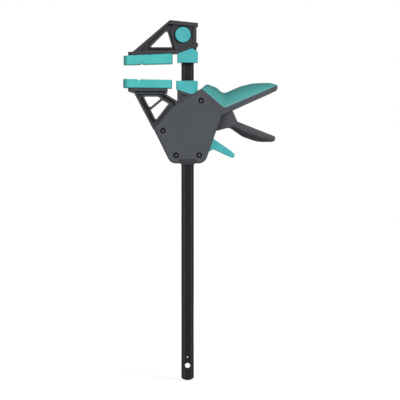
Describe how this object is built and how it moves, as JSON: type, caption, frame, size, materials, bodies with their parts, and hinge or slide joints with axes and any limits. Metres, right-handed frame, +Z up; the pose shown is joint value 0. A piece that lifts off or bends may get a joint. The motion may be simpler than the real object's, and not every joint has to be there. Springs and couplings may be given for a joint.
{
  "type": "quick release bar clamp",
  "caption": "One-hand bar clamp with a fixed jaw and a sliding, trigger-driven jaw on a steel bar, with soft pads and a release lever.",
  "frame": {"origin": "centre of the hole near the bar's lower end, in the bar's middle plane", "axes": "+Z up along the bar to the fixed jaw, +X from the jaws' tips towards the handle, +Y from front to back"},
  "size_m": [0.2619, 0.036, 0.611],
  "materials": {
    "black_steel": "black oxide, satin",
    "bright_steel": "zinc plated",
    "spring_steel": "oiled spring steel",
    "black_screws": "blackened steel",
    "jaw_plastic": "fine moulded texture",
    "housing_plastic": "fine moulded texture",
    "trigger_plastic": "fine moulded texture",
    "teal_plastic": "satin",
    "soft_teal": "soft matt elastomer"
  },
  "bodies": {
    "fixed_jaw": {"bar": "black_steel", "stop_pin": "bright_steel", "upper_jaw": "jaw_plastic", "upper_pad": "soft_teal", "upper_collar": "teal_plastic", "button_spring": "spring_steel"},
    "jaw_latch": {"jaw_button": "teal_plastic", "latch_strap": "bright_steel", "latch_screw": "bright_steel"},
    "sliding_jaw": {"housing_front": "housing_plastic", "housing_rear": "housing_plastic", "housing_screws": "black_screws", "grip_front": "soft_teal", "grip_rear": "soft_teal", "lower_pad": "soft_teal", "lower_collar": "teal_plastic", "trigger_pin": "bright_steel", "release_pin": "bright_steel", "drive_spring": "spring_steel", "brake_spring": "spring_steel"},
    "trigger": {"trigger": "trigger_plastic"},
    "drive_plates": {"drive_plate_1": "spring_steel", "drive_plate_2": "spring_steel", "drive_plate_3": "spring_steel"},
    "release": {"release_lever": "teal_plastic"},
    "brake": {"brake_plate": "spring_steel"}
  },
  "joints": [
    {"name": "jaw_slide", "type": "slide", "parent": "fixed_jaw", "child": "sliding_jaw", "axis": [0, 0, -1], "range_m": [-0.0233, 0.325]},
    {"name": "button_press", "type": "slide", "parent": "fixed_jaw", "child": "jaw_latch", "axis": [0, 1, 0], "range_m": [0, 0.005], "stiffness_N_per_m": 800, "springref_m": -0.004, "deforming": ["button_spring"]},
    {"name": "trigger_pull", "type": "hinge", "parent": "sliding_jaw", "child": "trigger", "pos_m": [0.0347, 0, 0.4325], "axis": [0, -1, 0], "range_deg": [0, 23.3], "stiffness_Nm_per_rad": 0.8, "springref_deg": -17.19},
    {"name": "plate_advance", "type": "slide", "parent": "sliding_jaw", "child": "drive_plates", "axis": [0, 0, -1], "range_m": [0, 0.0067], "deforming": ["drive_spring"]},
    {"name": "release_pull", "type": "hinge", "parent": "sliding_jaw", "child": "release", "pos_m": [0.0315, 0, 0.38], "axis": [0, -1, 0], "range_deg": [0, 12], "stiffness_Nm_per_rad": 0.3, "springref_deg": -17.19},
    {"name": "brake_swing", "type": "hinge", "parent": "sliding_jaw", "child": "brake", "pos_m": [-0.0205, 0, 0.3768], "axis": [0, 1, 0], "range_deg": [0, 3.5], "deforming": ["brake_spring"]}
  ],
  "couplings": [
    {"joint": "plate_advance", "follows": "trigger_pull", "m_per_rad": 0.015847},
    {"joint": "brake_swing", "follows": "release_pull", "ratio": 0.2833}
  ]
}
